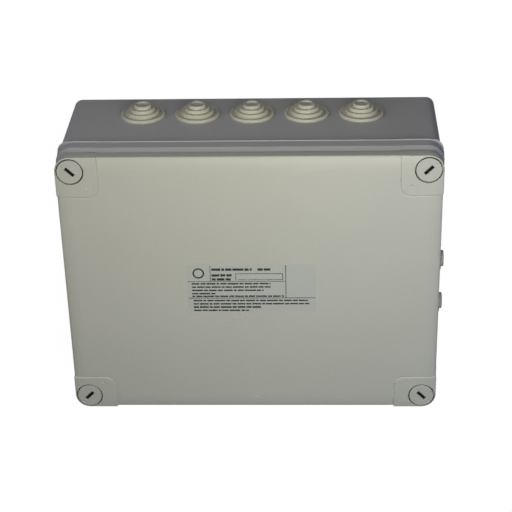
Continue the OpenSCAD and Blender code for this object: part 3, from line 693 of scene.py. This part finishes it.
# In each corner the square beyond the arc's centre becomes a quarter disc: the larger coordinate gives the
# radius, and the ratio of the two the angle.
over_x, over_y = np.clip(np.abs(grid_x) - arc_x, 0, None), np.clip(np.abs(grid_y) - arc_y, 0, None)
reach = np.maximum(over_x, over_y)
lesser = np.minimum(over_x, over_y) / np.where(reach > 0, reach, 1)
angle = np.where(over_x >= over_y, lesser, 2 - lesser) * pi / 4
both = (over_x > 0) & (over_y > 0)
grid_x = np.where(both, np.sign(grid_x) * (arc_x + reach * np.cos(angle)), grid_x)
grid_y = np.where(both, np.sign(grid_y) * (arc_y + reach * np.sin(angle)), grid_y)
count_x, count_y = grid_x.shape
panel_points = np.dstack([grid_x, grid_y, panel_height(grid_x, grid_y)]).reshape(-1, 3)
i, j = np.meshgrid(np.arange(count_x - 1), np.arange(count_y - 1), indexing="ij")
corner = i * count_y + j
panel_faces = np.stack([corner, corner + count_y, corner + count_y + 1, corner + 1], -1)
panel_faces = panel_faces.reshape(-1, 4).tolist()
panel = (panel_points, panel_faces)

edge = np.concatenate([np.stack([grid_x[:-1, 0], grid_y[:-1, 0]], 1),
                       np.stack([grid_x[-1, :-1], grid_y[-1, :-1]], 1),
                       np.stack([grid_x[:0:-1, -1], grid_y[:0:-1, -1]], 1),
                       np.stack([grid_x[0, :0:-1], grid_y[0, :0:-1]], 1)])
away = edge - np.clip(edge, (-arc_x, -arc_y), (arc_x, arc_y))
lid_path = (edge, away / np.hypot(*away.T)[:, None])
rib_in, rib_out, groove_out, groove_roof, rib_bottom = -2.3, -0.9, 1.2, 81.2, 77.0
under_side, _ = filleted([
    (-4, panel_under, 0), (rib_in, panel_under, 0.6), (rib_in, rib_bottom, 0.4), (rib_out, rib_bottom, 0.4),
    (rib_out, groove_roof, 0.2), (groove_out, groove_roof, 0.2), (groove_out, lid_bottom, 0.2),
    (rim_in, lid_bottom, 0.25), (rim_in, panel_top - border_drop, 0)], closed=False)
across = np.sin(np.linspace(pi / 2, np.arcsin(1 - rim_in / border), 10))
inside = border * (1 - across)
over_rim = np.stack([rim_in - inside, panel_top - border_fall(inside)], 1)
lid_profile = np.concatenate([under_side[:-1], over_rim])
on_pad = pad_rise(edge[:, 0], edge[:, 1])
on_side = (np.arange(len(lid_profile)) > len(under_side) - 8) & (lid_profile[:, 0] > groove_out + 0.3)
upper_rim = (np.arange(len(lid_profile)) >= len(under_side) - 1) * 1.0
firmed = pad_firm * border_fall(rim_in - lid_profile[:, 0]) * upper_rim
rise = np.outer(on_pad, proud * upper_rim + firmed)
spread = step_out * np.outer(on_pad, on_side * np.clip(lid_profile[:, 0] / rim_in, 0, 1))
lid_rim = carried(lid_path, lid_profile, swell=(spread, rise), end_cap=False)


def welded(solid):
    """The solid with points that lie on each other made one."""
    points, faces = solid
    _, first, index = np.unique(np.round(points, 4), axis=0, return_index=True, return_inverse=True)
    index = index.ravel()
    return points[first], [[int(index[v]) for v in face] for face in faces]


lid_solid = welded(together([panel, lid_rim]))

boss_r, boss_reach, boss_bottom = 7.5, 5.15, 74.0
seal_floor, head_floor = 81.7, 82.8         # steps in the bore, below the seal and just below the head
sweep = 2 * pi * np.arange(72) / 72
# The boss is a cylinder trimmed by the rib round the corner: a quarter arc on the corner's side, flats
# beside it.
toward = np.maximum(np.cos(sweep), np.sin(sweep))
boss_edge = np.where((np.cos(sweep) > 0) & (np.sin(sweep) > 0), boss_reach,
                     np.minimum(boss_r, boss_reach / np.maximum(toward, 0.01)))
boss_plan = boss_edge[:, None] * np.stack([np.cos(sweep), np.sin(sweep)], 1)
bosses, bores = [], []
bore = turned([(1, boss_bottom - 2, 0), (3.8, boss_bottom - 2, 0), (3.8, seal_floor, 0), (5.4, seal_floor, 0),
               (5.4, head_floor, 0), (7.85, head_floor, 0.2), (7.85, pad_top - 0.2, 0.15), (8.05, pad_top, 0),
               (8.05, pad_top + 1, 0), (1, pad_top + 1, 0)], 72)
for sx, sy in corner_signs:
    plan = boss_plan * (sx, sy)
    if sx * sy < 0:
        plan = plan[::-1]
    outline = (plan + np.array((sx * screw_x, sy * screw_y)), np.zeros_like(plan))
    bosses.append(carried(outline, np.array([(0, boss_bottom), (0, panel_under + 0.8)], float)))
    bores.append(moved(bore, (sx * screw_x, sy * screw_y, 0)))
lid_solid = worked(worked(lid_solid, "UNION", bosses), "DIFFERENCE", bores)
lid_plastic = moulded_plastic("lid_plastic", (0.50, 0.495, 0.45), 0.44, rub=0.35)
piece("lid_shell", lid_solid, lid_plastic, "lid", ["lid"])


# ---- Lid screws ----
# Captive quarter-turn screws in the lid's grey: a flat head with a short slot, a plain shank and two
# locking lugs at its foot. A small dot on the head's rim shows which way the lugs point.
def painted_recess_shade(material, low, full, none):
    """Painted shade in hollows: between heights low and full of the part, in millimetres, the colour is
    painted dark as shade, and it clears towards height none."""
    tree = material.node_tree
    shader = tree.nodes["Principled BSDF"]
    unshaded = shader.inputs["Base Color"].links[0].from_socket
    where = node(tree, "ShaderNodeSeparateXYZ", {0: node(tree, "ShaderNodeTexCoord").outputs["Object"]})
    depth = node(tree, "ShaderNodeMapRange", {"Value": where.outputs[2], "From Min": full / 1000,
                                              "From Max": none / 1000}, interpolation_type="SMOOTHSTEP")
    below = node(tree, "ShaderNodeMath", {0: where.outputs[2], 1: low / 1000}, operation="LESS_THAN")
    share = node(tree, "ShaderNodeMath", {0: depth.outputs[0], 1: below.outputs[0]}, operation="MAXIMUM")
    # Near-black painted shade, mixed over the skin's colour by the height mask.
    mixed = node(tree, "ShaderNodeMix", {0: share.outputs[0], 6: (0.05, 0.05, 0.05, 1), 7: unshaded},
                 data_type="RGBA")
    tree.links.new(mixed.outputs[2], shader.inputs["Base Color"])


screw_low, screw_high = corners_of("lid_screw_1")
head_r, head_t, shank_r, shank_foot, head_top = 7.2, 2.9, 3.7, screw_low[2], screw_high[2]
slot_deep = 4.0
screw_blank = turned([(1, shank_foot, 0), (shank_r, shank_foot, 0.7), (shank_r, head_top - head_t, 0.3),
                      (head_r, head_top - head_t, 0.3), (head_r, head_top, 0.4), (1, head_top, 0)], 64)
lug_outline = filleted([(-5.2, -1.5, 1.0), (5.2, -1.5, 1.0), (5.2, 1.5, 1.0), (-5.2, 1.5, 1.0)])
lugs = carried(lug_outline, filleted([(-1, shank_foot + 0.05, 0), (0, shank_foot + 0.05, 0.5),
                                      (0, shank_foot + 3, 0.4), (-1, shank_foot + 3, 0)], closed=False)[0])
slot_outline = filleted([(-3.3, -1, 0.3), (3.3, -1, 0.3), (3.3, 1, 0.3), (-3.3, 1, 0.3)], step=30)
slot_cut = carried(slot_outline, np.array([(0, head_top - slot_deep), (0, head_top - 0.15), (0.15, head_top),
                                           (0.15, head_top + 1)]))
dot_cut = moved(turned([(0.2, -0.3, 0), (0.5, -0.3, 0), (0.8, 0.02, 0), (0.8, 1, 0), (0.2, 1, 0)], 24),
                (5.4, 0, head_top))
screw_solid = worked(worked(screw_blank, "UNION", [lugs]), "DIFFERENCE", [slot_cut, dot_cut])
screw_plastic = moulded_plastic("screw_plastic", (0.49, 0.485, 0.445), 0.42, rub=0.5)
# The slot, the side of the head down in the bore's gap and the shank just below are painted dark as shade,
# clearing near the head's top.
painted_recess_shade(screw_plastic, head_top - slot_deep - 0.1, head_top - 0.9, head_top - 0.25)
for number, (sx, sy) in enumerate(corner_signs, 1):
    turn = atan2(sy, sx)
    axes = ((np.cos(turn), np.sin(turn), 0), (-np.sin(turn), np.cos(turn), 0), (0, 0, 1))
    piece(f"screw_{number}_moulded", moved(screw_solid, (sx * screw_x, sy * screw_y, 0), axes), screw_plastic,
          f"screw_{number}", [f"lid_screw_{number}"])


# ---- Seals ----
# A strip of foamed rubber lies in the lid's groove and closes on the base's tongue, and a ring of the same
# rubber sits under each screw's head.
gasket_low, gasket_high = corners_of("lid_gasket")
gasket_w = 1.9
gasket_path = rounded_box_path(gasket_high[0] - gasket_w, gasket_high[1] - gasket_w, 5.3)
gasket_section, _ = filleted([(0, gasket_low[2], 0.5), (gasket_w, gasket_low[2], 0.5),
                              (gasket_w, gasket_high[2], 0.2), (0, gasket_high[2], 0.2)], step=22.5)
gasket_rubber = moulded_plastic("gasket_rubber", (0.035, 0.035, 0.037), 0.62, cloud=0.25, grain=1300.0,
                                depth=0.00012, rub=0.05)
piece("gasket_strip", carried(gasket_path, gasket_section, loop=True), gasket_rubber, "lid", ["lid_gasket"])
seal_section, _ = filleted([(3.9, seal_floor, 0.5), (5.3, seal_floor, 0.5), (5.3, head_floor, 0.5),
                            (3.9, head_floor, 0.5)], step=30)
seal = carried(circle(48), seal_section, loop=True)
seal_rubber = moulded_plastic("seal_rubber", (0.03, 0.03, 0.03), 0.45, cloud=0.2, grain=2000.0, rub=0.05)
piece("screw_seal_rings", together([moved(seal, (sx * screw_x, sy * screw_y, 0)) for sx, sy in corner_signs]),
      seal_rubber, "lid", ["screw_seals"])


# ---- Rating plate ----
# A thin self-adhesive film on the middle of the lid, pale grey and half matt. Its print is only frames,
# rules, a plain ring and rows of bars where words would stand.
label_low, label_high = corners_of("label")
label_mid = (label_low + label_high) / 2
label_half_x, label_half_y = (label_high[0] - label_low[0]) / 2, (label_high[1] - label_low[1]) / 2
film_top = label_high[2] - 0.03
film_signs = ((-1, -1), (1, -1), (1, 1), (-1, 1))
film_plan = filleted([(sx * label_half_x, sy * label_half_y, 1.0) for sx, sy in film_signs])
film_solid = moved(slab(film_plan, label_low[2], film_top, 0.04), (label_mid[0], label_mid[1], 0))
label_film = moulded_plastic("label_film", (0.475, 0.485, 0.46), 0.36, cloud=0.04, grain=900.0, depth=0.00001,
                             rub=0.15)
piece("label_film_sheet", film_solid, label_film, "lid", ["label"])

ink_low, ink_high, rule, word_gap = film_top - 0.01, label_high[2] - 0.01, 0.3, 0.55


def ink(x0, y0, x1, y1):
    """One printed block between two corners."""
    mid = ((x0 + x1) / 2, (y0 + y1) / 2, 0)
    return moved(bar((x1 - x0) / 2, (y1 - y0) / 2, ink_low, ink_high, 0.04), mid)


def frame_lines(x0, y0, x1, y1, width):
    """The four sides of a printed frame, butted at its corners."""
    return [ink(x0, y0, x1, y0 + width), ink(x0, y1 - width, x1, y1),
            ink(x0, y0 + width, x0 + width, y1 - width), ink(x1 - width, y0 + width, x1, y1 - width)]


def word_row(x0, x1, y, height, shift):
    """Plain bars in place of one row of words, their lengths taken in turn from a short list."""
    lengths, most, least = np.roll((5.2, 1.7, 3.6, 6.4, 2.4, 4.5, 3.0), shift), 40, 0.5
    starts = x0 + np.arange(most) * word_gap + np.concatenate([[0], np.cumsum(np.resize(lengths, most - 1))])
    ends = np.minimum(starts + np.resize(lengths, most), x1)
    return [ink(start, y - height / 2, end, y + height / 2) for start, end in zip(starts, ends)
            if end - start > least]


block_left, block_right, mark_right = -37.0, 19.6, -23.9
bold_rows = [(-23.0, 0.4, 12.3), (3.6, 11.0, 12.3), (-23.0, -11.4, 8.5), (-23.0, -11.4, 5.8)]
fine_rows = [(-34.7, 11.0, 2.9), (-34.7, 11.0, 0.7), (-34.7, 6.9, -1.5), (-34.7, -20.6, -3.7),
             (-34.7, 18.8, -5.5), (-34.1, 33.2, -8.4), (-34.1, 33.2, -10.6), (-34.1, -1.9, -15.0)]
print_blocks = [ink(mark_right, 4.5, mark_right + rule, 15.0), ink(block_left, 4.2, block_right, 4.5),
                ink(block_right, -6.5, block_right + rule + 0.1, 15.0), ink(block_left, -6.9, 36.8, -6.5)]
print_blocks += frame_lines(-9.2, 5.3, 18.2, 9.7, 0.35)
for number, (x0, x1, y) in enumerate(bold_rows):
    print_blocks += word_row(x0, x1, y, 1.5, number)
for number, (x0, x1, y) in enumerate(fine_rows):
    print_blocks += word_row(x0, x1, y, 0.95, number + 2)
print_blocks += word_row(-34.1, 5.1, -12.8, 1.15, 1)
ring_r, ring_w = 3.4, 0.9
ring = carried(circle(48), np.array([(ring_r - ring_w, ink_low), (ring_r, ink_low), (ring_r, ink_high),
                                     (ring_r - ring_w, ink_high)]), loop=True)
print_blocks.append(moved(ring, (-30.6, 9.8, 0)))
label_ink = moulded_plastic("label_ink", (0.035, 0.035, 0.038), 0.5, cloud=0.5, grain=3000.0, rub=0.4)
piece("label_print", moved(together(print_blocks), (0, label_mid[1], 0)), label_ink, "lid", [])
